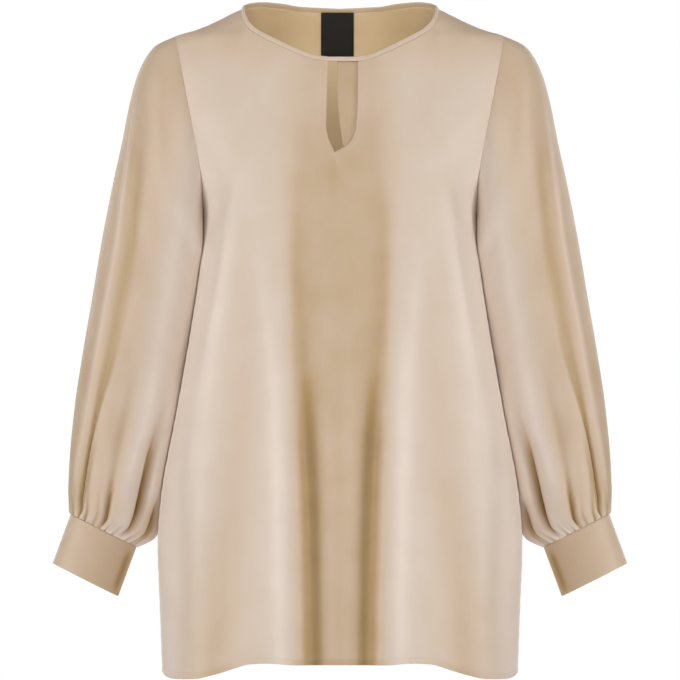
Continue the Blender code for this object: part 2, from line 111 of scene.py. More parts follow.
# Each panel's neckline, from the centre to the shoulder seam.
FRONT_NECK = table(
    "part width height",
    (0, 0, -68),
    (0.13, 21, -66),
    (0.29, 47, -58.8),
    (0.46, 72, -48.8),
    (0.64, 97, -36),
    (0.77, 110, -24),
    (0.88, 113.6, -14),
    (1, 114, -7),
)
BACK_NECK = table(
    "part width height",
    (0, 0, -10.8),
    (0.34, 46, -8.4),
    (0.53, 71, -5),
    (0.73, 92, -3.4),
    (0.86, 104, -4.6),
    (1, 114, -7),
)
HEM = table(
    "width front back",
    (0, -762, -757),
    (50, -762, -757),
    (80, -760.3, -757),
    (103, -761.3, -758),
    (124, -767, -760),
    (147, -774, -765),
    (170, -779, -771),
    (190, -779.4, -775),
    (200, -777, -775),
    (205, -772, -772),
)
KEYHOLE = table(
    "height right_edge left_edge",
    (-68, 20.5, -13.5),
    (-110, 20.2, -15.2),
    (-143, 18.4, -15.8),
    (-158, 13.7, -13),
    (-166, 6, -9.4),
    (-173.3, -6.2, -6.2),
)
KEYHOLE_TIP = -173.3
KEYHOLE_EASE = 90.0
KEYHOLE_ROW = 90

# Soft folds that grow from `top` to the hem. Each crest leans from `top_width` to `hem_width`.
FRONT_FOLDS = table(
    "top top_width hem_width inner_spread outer_spread lift",
    (-215, 66, 49, 15, 38, 17),
    (-190, 124, 182, 20, 13, 6),
)
BACK_FOLDS = table(
    "top top_width hem_width inner_spread outer_spread lift",
    (-230, 0, 0, 26, 26, 8),
    (-200, 68, 84, 22, 26, 10),
    (-190, 122, 165, 18, 15, 5),
)

# Creases on a panel, given line by line: each line runs down the cloth, and its lift is above 0 on a
# ridge and below 0 in a trough. `side` is 0 where both halves have it.
FRONT_CREASES = table(
    "line side height width lift inner outer",
    # The long ridge from the bust to the hem's corner.
    (1, 0, -205, 123, 0, 9, 8),
    (1, 0, -250, 127, 1.8, 9, 7),
    (1, 0, -303, 134, 2.6, 9, 6),
    (1, 0, -381, 147, 2.6, 10, 7),
    (1, 0, -446, 158, 2.2, 11, 8),
    (1, 0, -550, 173, 1.6, 12, 9),
    (1, 0, -700, 188, 0, 12, 9),
    # The deep trough beside the centre.
    (2, 0, -230, 56, 0, 11, 11),
    (2, 0, -315, 50, -1.2, 11, 11),
    (2, 0, -400, 43, -1.6, 10, 10),
    (2, 0, -502, 36, -4.6, 9, 11),
    (2, 0, -620, 31, -4.8, 6.5, 10.5),
    (2, 0, -760, 28, -4.3, 5, 11.5),
    # The crest that stands over it.
    (3, 0, -280, 92, 0, 14, 14),
    (3, 0, -348, 83, 1.6, 13, 14),
    (3, 0, -470, 72, 2.6, 12, 15),
    (3, 0, -620, 66, 3, 12, 16),
    (3, 0, -760, 62, 3, 12, 16),
    # The shallow hollow between the two ridges.
    (4, 0, -260, 112, 0, 20, 16),
    (4, 0, -380, 110, -1.8, 20, 20),
    (4, 0, -560, 116, -2.2, 22, 22),
    (4, 0, -690, 140, -3, 24, 26),
    (4, 0, -760, 146, -3.2, 26, 28),
    # A short drag line that runs from the bust towards the armpit.
    (5, 0, -205, 132, 0, 8, 7),
    (5, 0, -232, 136, -1.4, 8, 7),
    (5, 0, -262, 147, -1.2, 8, 7),
    (5, 0, -300, 156, 0, 8, 7),
    # Beside the side seam the cloth turns in a little.
    (6, 0, -420, 176, 0, 8, 10),
    (6, 0, -560, 182, -1.2, 10, 7),
    (6, 0, -700, 181, -2.5, 14, 8),
    (6, 0, -775, 182, -2, 14, 8),
    # The slack below the keyhole's tip, on one side of the centre.
    (7, -1, -176, 6, 0, 5, 6),
    (7, -1, -192, 8, -0.9, 5, 6),
    (7, -1, -214, 8, -0.5, 5, 6),
    (7, -1, -262, 7, 0, 5, 6),
    # The light crease that runs aslant from the tip.
    (10, -1, -174, 6.5, 0, 2, 2),
    (10, -1, -178, 5.5, 0.9, 2, 2.2),
    (10, -1, -186, 1.5, 0.9, 2, 2.2),
    (10, -1, -193, -1.5, 0, 2, 2),
    # Faint waves across the flat centre.
    (8, 1, -300, 14, 0, 10, 10),
    (8, 1, -480, 11, 0.8, 9, 9),
    (8, 1, -770, 9, 1, 9, 9),
    (9, -1, -330, 15, 0, 10, 10),
    (9, -1, -520, 12, 0.7, 9, 9),
    (9, -1, -770, 10, 1.1, 9, 9),
)
BACK_CREASES = table(
    "line side height width lift inner outer",
    (1, 0, -150, 128, 0, 10, 8),
    (1, 0, -230, 134, 1.6, 10, 8),
    (1, 0, -380, 148, 2.2, 10, 8),
    (1, 0, -560, 168, 1.6, 12, 9),
    (1, 0, -740, 182, 0, 12, 9),
    (2, 0, -240, 44, 0, 14, 12),
    (2, 0, -380, 42, -2.4, 14, 12),
    (2, 0, -560, 40, -3.6, 14, 12),
    (2, 0, -765, 38, -3.6, 14, 12),
    (3, 0, -260, 78, 0, 14, 14),
    (3, 0, -450, 84, 2, 12, 14),
    (3, 0, -765, 92, 2.4, 12, 14),
    (4, 0, -260, 116, 0, 16, 14),
    (4, 0, -460, 122, -2, 16, 16),
    (4, 0, -765, 130, -2, 18, 18),
    (5, 1, -60, 22, 0, 14, 14),
    (5, 1, -160, 18, -1, 14, 14),
    (5, 1, -300, 12, 0, 14, 14),
)

# Sections of a sleeve: its outer and inner edge as seen from the front, and its reach from
# `centre_y` to the front and back.
SLEEVE = table(
    "along outer_x outer_z inner_x inner_z centre_y reach",
    (0, 190, -38, 158, -245, -3, 63),
    (0.04, 214, -50, 155.5, -262, 2, 65),
    (0.096, 232, -78, 153, -285, 10, 66),
    (0.162, 243, -115, 153, -310, 18, 67),
    (0.235, 252, -160, 155, -335, 25, 66),
    (0.311, 262, -205, 158, -362, 31, 65),
    (0.409, 274, -265, 164, -395, 37, 64),
    (0.53, 286, -335, 172, -440, 42, 64),
    (0.655, 298, -405, 181, -490, 45, 65),
    (0.765, 307, -465, 190, -535, 46, 66),
    (0.88, 313, -530, 201, -580, 46, 63),
    (0.942, 314, -562, 208, -606, 45, 55),
    (0.97, 313, -577, 214.5, -618, 44, 47),
    (1, 311.5, -590.2, 235.6, -628.5, 43, 31),
)
SLEEVE_LENGTH = 484.0
SLEEVE_RADIUS = 66
ARMHOLE_RADIUS = 60
# How much squarer the half of a section beside the body is than an oval.
SQUARENESS = 0.38
ALLOWANCE = 1.5
ARMHOLE_FADE = 0.16
# Deeper tucks among the gathers: where they end at the cuff, how far they lean, and their reach.
TUCKS = table(
    "turn lean depth spread reach",
    (-41, -17, 5, 4, 95),
    (-80, -5, 8, 3, 66),
    (-121, -3, 7, 6, 140),
    (62, -6, 6, 9, 100),
    (104, 4, 7, 9, 130),
    (146, 7, 6, 8, 90),
)

# Long creases down a sleeve: turns below 0 are on its front. `spread` is in millimetres.
SLEEVE_CREASES = table(
    "line along turn lift spread",
    # The thin ridge down the outer front, and the hollow beside it.
    (1, 0.12, -28, 0, 5),
    (1, 0.21, -31, 1.6, 5),
    (1, 0.31, -37, 2.2, 5),
    (1, 0.42, -43, 2.4, 5),
    (1, 0.55, -42, 2.4, 5),
    (1, 0.75, -40, 1.7, 5),
    (1, 0.88, -34, 2.4, 5),
    (1, 0.96, -28, 0, 4),
    (2, 0.14, -48, 0, 11),
    (2, 0.29, -55, -2.2, 11),
    (2, 0.42, -62, -2.6, 11),
    (2, 0.6, -60, -3, 9),
    (2, 0.72, -55, -4.2, 4.4),
    (2, 0.83, -50, -6.5, 2),
    (2, 0.92, -43, -8.5, 1.9),
    (2, 0.97, -38, -5, 2.2),
    (2, 1, -36, 0, 3),
    # The fold in the middle of the front.
    (3, 0.56, -90, 0, 7),
    (3, 0.66, -90, -1.4, 7),
    (3, 0.76, -87, -2.2, 7),
    (3, 0.87, -85, -2, 6),
    (3, 1, -80, 0, 5),
    # The deep fold towards the body.
    (4, 0.6, -130, 0, 7),
    (4, 0.7, -127, -3, 7),
    (4, 0.78, -124, -8.5, 5.5),
    (4, 0.88, -124, -10, 5),
    (4, 0.96, -121, -9, 4),
    (4, 1, -118, 0, 4),
    # The broad light band, and the hollow next to the body.
    (5, 0.1, -107, 0, 14),
    (5, 0.26, -110, 1.6, 14),
    (5, 0.52, -112, 2.2, 13),
    (5, 0.66, -112, 2.6, 11),
    (5, 0.8, -105, 2.6, 9),
    (5, 0.95, -99, 0, 7),
    (6, 0.88, -147, 0, 6),
    (6, 0.93, -150, -7.5, 8),
    (6, 0.97, -151, -9, 8),
    (6, 1, -150, -3, 6),
    # The hidden side, much alike.
    (7, 0.14, 44, 0, 7),
    (7, 0.34, 50, 2, 6),
    (7, 0.6, 52, 2.4, 6),
    (7, 0.84, 46, 2.2, 5),
    (7, 0.96, 42, 0, 5),
    (8, 0.3, 74, 0, 12),
    (8, 0.55, 72, -2.4, 11),
    (8, 0.8, 66, -2.6, 7),
    (8, 1, 60, 0, 5),
    (9, 0.2, 118, 0, 14),
    (9, 0.5, 120, 2.4, 12),
    (9, 0.78, 116, 2.4, 9),
    (9, 0.95, 112, 0, 7),
    (10, 0.62, 146, 0, 8),
    (10, 0.82, 142, -3, 6),
    (10, 1, 144, 0, 5),
)

# Where a sleeve has deeper painted shade or paler painted light: towards its outer edge (1) or the body
# (-1).
SLEEVE_PAINTED_SHADES = table(
    "towards start over along run amount",
    (1, 0.8, 0.2, 0.55, 0.2, 0.2),
    (-1, 0.75, 0.2, 0.4, -0.15, 0.1),
    (-1, 0.8, 0.15, 0.42, 0.1, -0.3),
    (-1, 0.5, 0.3, 0.86, 0.06, 0.5),
)
# Where the painted shade of the hollow above the cuff is deepest.
HOLLOW_TURN, HOLLOW_ALONG = -2.56, 0.955

CUFF_LENGTH = 60.8
CUFF_RADIUS = 34
CUFF_LEAN = (0.347, -0.938)
CUFF_PLANE = np.array((-0.452, 0, 0.892))

# The binding's section: up from the neckline's edge, and out from the panels' outer face.
BINDING_PROFILE = table(
    "up out",
    (0.2, 0),
    (0.5, 0.3),
    (2.5, 0.45),
    (4.6, 0.35),
    (5.6, 0),
    (6, -0.4),
    (5.6, -0.8),
    (4.6, -1.1),
    (0.5, -1.1),
    (0.2, -1),
)

UNDERLAP = table(
    "height free_edge hidden_edge",
    (-66.5, -3, 30),
    (-100, -3, 30),
    (-127, -1.4, 28),
    (-150, 1.2, 24),
    (-166, 3.6, 16),
)
LABEL_LEFT, LABEL_RIGHT = -22.0, 16.0
LABEL_TOP, LABEL_BOTTOM = -8.2, -61.0
# How far inside the panel's outer face the two lie.
UNDERLAP_INWARD, LABEL_INWARD = 2.1, 2.6

HEM_DEPTH = 7.0
EDGE_STITCH = 4.6
CUFF_STITCH = 2.0
STITCH = 2.6
THREADS, PICKS = 0.42, 0.48
LABEL_THREADS, LABEL_RIBS = 0.35, 0.5
# How much each millimetre of a crease or gather deepens the painted shade in its hollows and pales it as
# painted highlight on its ridges.
CREASE_PAINTED_SHADE, GATHER_PAINTED_SHADE = 0.11, 0.3

# The cloth's colours, from a pale painted highlight, through its own colour, to the deep painted shade of
# its folds.
CLOTH_LIT_AND_SHADED = (
    (0.82, 0.71, 0.62, 1),
    (0.7, 0.59, 0.5, 1),
    (0.62, 0.48, 0.355, 1),
    (0.44, 0.29, 0.13, 1),
    (0.16, 0.092, 0.016, 1),
)
# The inside's colours: paler than the outside, partly as the reverse side's own colour and partly as
# painted light, down to painted fold shade.
INSIDE_LIT_AND_SHADED = (
    (0.84, 0.69, 0.48, 1),
    (0.82, 0.65, 0.42, 1),
    (0.74, 0.57, 0.34, 1),
    (0.6, 0.43, 0.21, 1),
    (0.4, 0.27, 0.11, 1),
)
# Where those five colours lie on the scale of painted light and shade.
PAINTED_SHADE_STOPS = (-0.4, 0.0, 0.5, 1.0, 1.6)
LABEL_COLOUR = (0.008, 0.009, 0.009, 1)
LABEL_WORN = (0.03, 0.03, 0.032, 1)
FLOOR_COLOUR = (0.86, 0.86, 0.86, 1)
FLOOR_DUST = (0.7, 0.7, 0.7, 1)
BLACK = (0, 0, 0, 1)
WHITE = (1, 1, 1, 1)

CAMERA_DISTANCE = 20.0
CAMERA_HEIGHT = -0.389
CAMERA_LENS = 916.7
FLOOR_HEIGHT = -1.5
FLOOR_GAP = 0.01
STAGE_RADIUS = 25.0
STAGE_CORNERS = 96
WALL_HEIGHT = 80


def curve(rows, key, column, at):
    """A column's value anywhere along another one, on a smooth curve that never overshoots."""
    order = np.argsort(rows[key])
    x, y = rows[key][order], rows[column][order]
    at = np.clip(at, x[0], x[-1])
    step = np.diff(x)
    slope = np.diff(y) / step
    product = slope[:-1] * slope[1:]
    total = np.where(product > 0, slope[:-1] + slope[1:], 1)
    inner = np.where(product > 0, 2 * product / total, 0)
    tangent = np.concatenate([slope[:1], inner, slope[-1:]])
    i = np.clip(np.searchsorted(x, at) - 1, 0, len(step) - 1)
    t = (at - x[i]) / step[i]
    rise = y[i + 1] - y[i]
    start, end = tangent[i] * step[i], tangent[i + 1] * step[i]
    return y[i] + t * (start + t * (3 * rise - 2 * start - end + t * (start + end - 2 * rise)))


def curves(rows, key, columns, at):
    """The values of several columns, named in one string."""
    return [curve(rows, key, column, at) for column in columns.split()]


def ease(t):
    """0 to 1 with a soft start and end."""
    t = np.clip(t, 0, 1)
    return t * t * (3 - 2 * t)


def below(height, start, over):
    """0 down to the height `start`, and 1 from `over` below it."""
    return ease((start - height) / over)


def peak(apart, spread):
    """1 in the middle, and next to nothing at twice the spread."""
    return np.exp(-((apart / spread) ** 2))


def unit(vectors):
    return vectors / np.linalg.norm(vectors, axis=-1, keepdims=True)


def lines_of(rows):
    """The rows of each line of a table of creases."""
    for line in np.unique(rows["line"]):
        yield {name: column[rows["line"] == line] for name, column in rows.items()}


# The body


def edge_width(height):
    """Half the width at the panels' side edge: the side seam, or the armhole above it."""
    side = curve(BODY, "height", "half_width", height)
    armhole = curve(ARMHOLE, "height", "width", height)
    return np.where(height < ARMPIT_HEIGHT, side, armhole)


def fold_lift(rows, width, height):
    """How far the folds push the cloth out at a place."""
    total = np.zeros(np.broadcast(width, height).shape)
    bottom = HEM["front"].min()
    for top, top_width, hem_width, inner, outer, lift in zip(*rows.values()):
        fallen = np.clip((top - height) / (top - bottom), 0, 1)
        apart = np.abs(width) - (top_width + (hem_width - top_width) * fallen**0.8)
        total += lift * ease(fallen * 1.35) * peak(apart, np.where(apart < 0, inner, outer))
    return total


def depth(face, width, height):
    """How far a panel stands out from the plane of the side seams."""
    column, rows = ("front", FRONT_FOLDS) if face == FRONT else ("back", BACK_FOLDS)
    ratio = np.clip(np.abs(width) / curve(BODY, "height", "half_width", height), 0, 1)
    full = curve(BODY, "height", column, height)
    plain = full * (1 - ratio**WIDTH_POWER) ** (1 / DEPTH_POWER)
    return plain + fold_lift(rows, width, height) * (1 - ratio**8) + SEAM / 2


def armhole_height(turn):
    """The height of the armhole's seam, from the shoulder tip (turn 0) to the armpit (turn pi)."""
    middle = (SHOULDER_TIP_HEIGHT + ARMPIT_HEIGHT) / 2
    return middle + (SHOULDER_TIP_HEIGHT - middle) * np.cos(turn)


def top_edge(face, across):
    """Half the width and the height of a panel's top edge: its neckline, then its shoulder."""
    rows = FRONT_NECK if face == FRONT else BACK_NECK
    neck = np.clip(across / NECK_END, 0, 1)
    shoulder = np.clip((across - NECK_END) / (1 - NECK_END), 0, 1)
    shoulder_height = NECK_SIDE_HEIGHT + (SHOULDER_TIP_HEIGHT - NECK_SIDE_HEIGHT) * shoulder
    on_neck = across < NECK_END
    height = np.where(on_neck, curve(rows, "part", "height", neck), shoulder_height)
    shoulder_width = curve(BODY, "height", "half_width", shoulder_height)
    width = np.where(on_neck, curve(rows, "part", "width", neck), shoulder_width)
    return width, height


def keyhole_shift(side, width, height):
    """How far the cloth beside the slit moves aside, and below it back to the centre."""
    edge = curve(KEYHOLE, "height", "right_edge" if side == LEFT else "left_edge", height)
    below = ease((height - KEYHOLE_TIP) / KEYHOLE_EASE + 1)
    near = np.clip(1 - np.abs(width) / KEYHOLE_EASE, 0, 1) ** 2
    return edge * below * near


def rise_at(side_height):
    """The row whose side end is at this height."""
    return (side_height - SIDE_END) / (SHOULDER_TIP_HEIGHT - SIDE_END)


def keyhole_row_shift(across, rise):
    """Brings one row to the height of the keyhole's tip at the centre."""
    row = rise_at(armhole_height(np.radians(KEYHOLE_ROW)))
    bottom, top = HEM["front"][0], FRONT_NECK["height"][0]
    wanted = KEYHOLE_TIP - (bottom + (top - bottom) * row)
    near = np.where(rise < row, rise / row, (1 - rise) / (1 - row))
    return wanted * ease(near) * ease(1 - 2 * across)


def panel_points(face, side, across, rise):
    """Points on the outer face of a panel's half, as its solid has them."""
    column = "front" if face == FRONT else "back"
    spread = np.sin(across * np.pi / 2)
    hem = curve(HEM, "width", column, HEM["width"][-1] * spread)
    top_width, top = top_edge(face, across)
    height = hem + (top - hem) * rise + (keyhole_row_shift(across, rise) if face == FRONT else 0)
    top_part = top_width / edge_width(top)
    fan = ease((rise - FAN_START) / (1 - FAN_START))
    x = side * edge_width(height) * (spread + (top_part - spread) * fan)
    if face == FRONT:
        x = x + keyhole_shift(side, x, height)
    return np.stack([x, face * depth(face, x, height), height + 0 * x], axis=-1)


def panel_normals(face, points):
    """Normals that point out of the garment, from the slope of the squared depth."""
    x, height = points[..., 0], points[..., 2]

    def slope(x_step, z_step):
        ahead, behind = depth(face, x + x_step, height + z_step), depth(face, x - x_step, height - z_step)
        return (ahead**2 - behind**2) / (2 * SLOPE_STEP)

    slopes = [-slope(SLOPE_STEP, 0), 2 * points[..., 1], -slope(0, SLOPE_STEP)]
    return unit(np.stack(slopes, axis=-1))


def crease_lift(rows, x, height):
    """How far the listed creases of a panel move its cloth."""
    total = np.zeros(x.shape)
    for line in lines_of(rows):
        width, lift, inner, outer = curves(line, "height", "width lift inner outer", height)
        side = line["side"][0]
        apart = (np.abs(x) if side == 0 else x * side) - width
        total += lift * peak(apart, np.where(apart < 0, inner, outer))
    return total


def seam_roll(distance, place, dip, width):
    """Cloth dips into a seam, and puckers a little beside it."""
    pucker = 0.16 * np.sin(place / 2.6) + 0.12 * np.sin(place / 4.3 + 1)
    return -dip * np.exp(-distance / width) + pucker * peak(distance - 4, 4)


def seam_dip(height):
    """How deep the armhole's seam dips: more and more towards the armpit."""
    return 0.15 + 0.75 * below(height, -185, 55)


def hem_lift(above_hem, x):
    """The turned hem is a little thicker, and its stitches draw it in."""
    turned = 0.45 * ease((HEM_DEPTH - above_hem) / 1.5)
    line = 0.35 * peak(above_hem - HEM_DEPTH, 1.3)
    wave = 0.25 * np.sin(x / 6.1) * np.sin(x / 17.0 + 0.4) * np.exp(-above_hem / 14)
    return turned - line + wave


def lengths(points, axis):
    """Distance from the first point along each row (axis 1) or up each column (axis 0)."""
    steps = np.linalg.norm(np.diff(points, axis=axis), axis=-1)
    zero = np.zeros_like(np.take(steps, [0], axis=axis))
    return np.concatenate([zero, np.cumsum(steps, axis=axis)], axis=axis)


def panel_across():
    neck = np.linspace(0, NECK_END, NECK_COLUMNS)
    shoulder = np.linspace(NECK_END, 0.972, SHOULDER_COLUMNS)[1:]
    seam = np.array((0.980, 0.986, 0.991, 0.995, 0.998, 1))
    return np.concatenate([neck, shoulder, seam])


def panel_rises():
    """A panel's rows, closer at the hem and the shoulder seam, with one at the keyhole's tip."""
    hem = np.array((0, 0.8, 2.2, 4.2, 5.8, 7.0, 8.4, 10.5, 14)) / PANEL_HEIGHT
    tip = rise_at(armhole_height(np.radians(KEYHOLE_ROW)))
    lower = np.linspace(18 / PANEL_HEIGHT, tip, 166)
    upper = np.linspace(tip, 0.985, 42)[1:]
    seam = np.array((0.991, 0.9955, 0.9985, 1))
    return np.concatenate([hem, lower, upper, seam])


def half_panel(face, side):
    """One half of a panel: points, the cloth's coordinates, distances from edges, painted light and
    shade, and faces.
    """
    across, rise = np.meshgrid(panel_across(), panel_rises())
    plain = panel_points(face, side, across, rise)
    normals = panel_normals(face, plain)
    x, height = plain[..., 0], plain[..., 2]
    along_row, up_column = lengths(plain, 1), lengths(plain, 0)
    to_side = along_row[:, -1:] - along_row
    to_shoulder = np.where(across < NECK_END, FAR, up_column[-1:] - up_column)
    creases = crease_lift(FRONT_CREASES if face == FRONT else BACK_CREASES, x, height)
    calm = ease(to_side / SEAM_CALM) * ease(to_shoulder / SEAM_CALM)
    lift = creases * calm + hem_lift(up_column, x)
    dip = np.where(height < ARMPIT_HEIGHT, 0.3, seam_dip(height))
    lift += seam_roll(to_side, height, dip, SIDE_ROLL)
    lift += seam_roll(to_shoulder, x, 0.3, SHOULDER_ROLL)
    points = plain + normals * lift[..., None]
    weave = np.stack([side * along_row, up_column], axis=-1)
    slit = np.where((height > KEYHOLE_TIP) & (face == FRONT), along_row, FAR)
    # Where the seams' painted shade lies: nearer the armhole's seam where it dips deeper, along the
    # shoulder seam, and none well below the armpit.
    painted_seam_shade = np.where(height < ARMPIT_HEIGHT - 60, FAR, to_side + 1.2 * (1 - seam_dip(height)))
    edges = np.stack([slit, np.minimum(painted_seam_shade, to_shoulder)], axis=-1)
    index = np.arange(across.size).reshape(across.shape)
    # Painted shade in crease troughs and painted highlight on crease ridges.
    painted_shade = panel_painted_shade(face, x, height) - creases * CREASE_PAINTED_SHADE
    # Deeper over the turned hem.
    painted_shade += 0.14 * ease((HEM_DEPTH - up_column) / 1.5)
    return points, weave, edges, painted_shade, quads(index)


def panel_painted_shade(face, x, height):
    """Painted light and shade on a panel: deeper in the middle, over the shoulders, near the hem and
    beside the back's neck, paler at the sides, and paler on the crests of its folds.
    """
    rows = FRONT_FOLDS if face == FRONT else BACK_FOLDS
    lower = below(height, -100, 200)
    middle = ease((84 - 12 * lower - np.abs(x)) / (54 - 30 * lower))
    middle *= (0.33 + 0.17 * below(height, -100, 100)) * (1 if face == FRONT else 0.55)
    shoulders = 0.35 * ease((height + 95) / 60)
    more = 0.05 * below(height, -650, 80)
    if face == BACK:
        more += 0.2 * peak(np.abs(x) - 68, 22) * ease((height + 90) / 40)
    out = np.abs(x) / edge_width(height)
    # Painted highlight towards the sides, and a paler painted edge along the side seam.
    sides = 0.4 * ease((out - 0.72) / 0.28) * below(height, -120, 100)
    sides += 0.25 * ease((out - 0.982) / 0.015) * below(height, -150, 60)
    return 0.2 + np.maximum(middle, shoulders) + more - sides - 0.012 * fold_lift(rows, x, height)


def make_panel(name, face, cloths):
    halves = [half_panel(face, LEFT), half_panel(face, RIGHT)]
    points, weave, edges, painted_shade = (np.concatenate([half[i] for half in halves]) for i in range(4))
    shift = painted_shade.size // 2
    faces = halves[0][4] + [tuple(i + shift for i in corners) for corners in halves[1][4]]
    panel = make_shell(name, points, faces, weave, edges, painted_shade, cloths)
    thicken(panel, PANEL_WALL)
    return panel


# The sleeves


def body_width_at(y, height):
    """Half the body's width at a place between its front and back."""
    half_width, front, back = curves(BODY, "height", "half_width front back", height)
    ratio = np.clip(np.abs(y) / np.where(y < 0, front, back), 0, 1)
    part = (1 - ratio**DEPTH_POWER) ** (1 / WIDTH_POWER)
    return half_width * part


def kept_clear(x, y, height):
    """Moves a sleeve's point out from the body's side, where it would touch it."""
    limit = body_width_at(y, height) + SLEEVE_CLEAR
    softness = 0.8
    pushed = limit + softness * np.logaddexp(0, (x - limit) / softness)
    return x + (pushed - x) * below(height, ARMPIT_HEIGHT, 14)


def sleeve_section(turn, along):
    """A section's centre, and its plain oval's points from there, between the sleeve's edges."""
    outer_x, outer_z, inner_x, inner_z, centre_y, reach = curves(
        SLEEVE, "along", "outer_x outer_z inner_x inner_z centre_y reach", along
    )
    centre = np.stack([(outer_x + inner_x) / 2, centre_y, (outer_z + inner_z) / 2], axis=-1)
    x = (outer_x - inner_x) / 2 * np.cos(turn)
    z = (outer_z - inner_z) / 2 * np.cos(turn)
    square = SQUARENESS * ease(along / 0.2) * ease((1 - along) / 0.2) * (np.cos(turn) < 0)
    rounder = ease((along - 0.1) / 0.1) * ease((0.62 - along) / 0.15) * (np.sin(turn) < 0)
    square = square * (1 - rounder)
    y = reach * np.sign(np.sin(turn)) * np.abs(np.sin(turn)) ** (1 - square)
    return centre, np.stack([x, y, z], axis=-1)


def armhole_edge(turn):
    """The panels' outer edge round the armhole."""
    height = armhole_height(turn)
    width = curve(ARMHOLE, "height", "width", height)
    y = np.where(np.sin(turn) < 0, -depth(FRONT, width, height), depth(BACK, width, height))
    return np.stack([width, np.where(np.abs(np.sin(turn)) < 1e-6, 0, y), height], axis=-1)


def armhole_frame(turn):
    """Directions at the armhole: out of the cloth, on past its edge, and how far the sleeve folds."""
    edge = armhole_edge(turn)
    in_front = (np.sin(turn) < 0)[..., None]
    normal = np.where(in_front, panel_normals(FRONT, edge), panel_normals(BACK, edge))
    seam = unit(armhole_edge(turn + SLOPE_STEP) - armhole_edge(turn - SLOPE_STEP))
    onward = unit(np.cross(seam, normal))
    onward *= np.sign(onward @ np.array((1, 0, 0.3)))[..., None]
    low = np.abs((turn + np.pi) % (2 * np.pi) - np.pi) / np.pi
    fold = np.pi * np.clip(1.2 * low - 0.2, 0, 1) ** 1.5
    return normal, onward, fold[..., None]


def armhole_offset(turn):
    """From the plain oval at the armhole to the place beside the panels' edge."""
    centre, oval = sleeve_section(turn, np.zeros(np.shape(turn)))
    normal, onward, fold = armhole_frame(turn)
    gap = (onward * np.cos(fold / 2) + normal * np.sin(fold / 2)) * SEAM
    return armhole_edge(turn) + gap - centre - oval


def uneven(turn, along):
    """Spaces the gathers unevenly near the cuff."""
    shift = 0.05 * np.sin(3 * turn + 0.6) + 0.035 * np.sin(7 * turn + 2.1)
    return turn + shift * ease(along * 2 - 1)


def turned_apart(turn, line):
    """The angle from a line to a turn, by the shorter way round."""
    return np.angle(np.exp(1j * (turn - line)))


def tuck_depth(turn, along):
    """How far the deeper tucks draw the cloth in."""
    total = np.zeros(np.broadcast(turn, along).shape)
    to_cuff = (1 - along) * SLEEVE_LENGTH
    for end, lean, deep, spread, reach in zip(*TUCKS.values()):
        line = np.radians(end + lean * to_cuff / reach)
        shape = peak(turned_apart(turn, line), np.radians(spread))
        total += deep * shape * ease(to_cuff / 16 + 0.25) * ease(1.15 - to_cuff / reach)
    return total


def sleeve_crease_lift(turn, along, radius):
    """How far the listed creases of a sleeve move its cloth."""
    total = np.zeros(np.broadcast(turn, along).shape)
    for line in lines_of(SLEEVE_CREASES):
        middle, lift, spread = curves(line, "along", "turn lift spread", along)
        total += lift * peak(turned_apart(turn, np.radians(middle)) * radius, spread)
    return total


def sleeve_points(turn, along):
    """Points on the outer face of the left sleeve, without its gathers."""
    turn = uneven(turn, along)
    centre, oval = sleeve_section(turn, along)
    radius = np.linalg.norm(oval, axis=-1)
    moved = sleeve_crease_lift(turn, along, radius) - tuck_depth(turn, along)
    fade = np.clip(1 - along / ARMHOLE_FADE, 0, 1) ** 2
    points = centre + oval * (1 + moved / radius)[..., None] + armhole_offset(turn) * fade[..., None]
    x, y, z = np.moveaxis(points, -1, 0)
    return np.stack([kept_clear(x, y, z), y, z], axis=-1)


def gather_lift(turn, along):
    """The small gathers that run up from the cuff, some further than others, with narrow hollows."""
    to_cuff = (1 - along) * SLEEVE_LENGTH
    reach = 15 + 8 * np.sin(5 * turn + 0.7) + 6 * np.sin(2 * turn + 2)
    height = GATHER_HEIGHT * (0.75 + 0.25 * np.sin(7 * turn + 1)) * (0.75 + 0.25 * ease(to_cuff / 4))
    spaced = GATHERS * (turn + 0.05 * np.sin(5 * turn + 1))
    pleats = 1 - 2 * (0.5 - 0.5 * np.cos(spaced)) ** 3
    fine = 1 - 2 * (0.5 - 0.5 * np.cos(2 * GATHERS * turn + 1.3 * np.sin(3 * turn))) ** 2
    return height * (pleats * np.exp(-to_cuff / reach) + 0.35 * fine * np.exp(-to_cuff / 6))


def sleeve_frame(turn, along):
    """The left sleeve's points and outward normals, which lie level with the seam at the cuff."""
    step = 1e-4
    low, high = np.maximum(along - step, 0), np.minimum(along + step, 1)
    down = sleeve_points(turn, high) - sleeve_points(turn, low)
    around = sleeve_points(turn + step, along) - sleeve_points(turn - step, along)
    normals = unit(np.cross(down, around))
    level = ease(1 - (1 - along) * SLEEVE_LENGTH / 10)[..., None]
    normals = unit(normals - (normals @ CUFF_PLANE)[..., None] * CUFF_PLANE * level)
    return sleeve_points(turn, along), normals


def sleeve_alongs():
    """Rows of a sleeve, closer at the armhole's seam and in the gathers."""
    seam = np.array((0, 0.0015, 0.004, 0.008, 0.013, 0.019))
    middle = np.linspace(0.026, 0.88, 120)
    gathers = 1 - np.array((54, 50, 46, 42, 38, 34, 31, 28, 25, 22, 19.5, 17, 15, 13, 11, 9, 7.4, 6,
                            4.8, 3.8, 2.8, 2, 1.3, 0.6, 0)) / SLEEVE_LENGTH
    return np.concatenate([seam, middle, gathers])


def turns_of(count):
    return np.arange(count) * 2 * np.pi / count


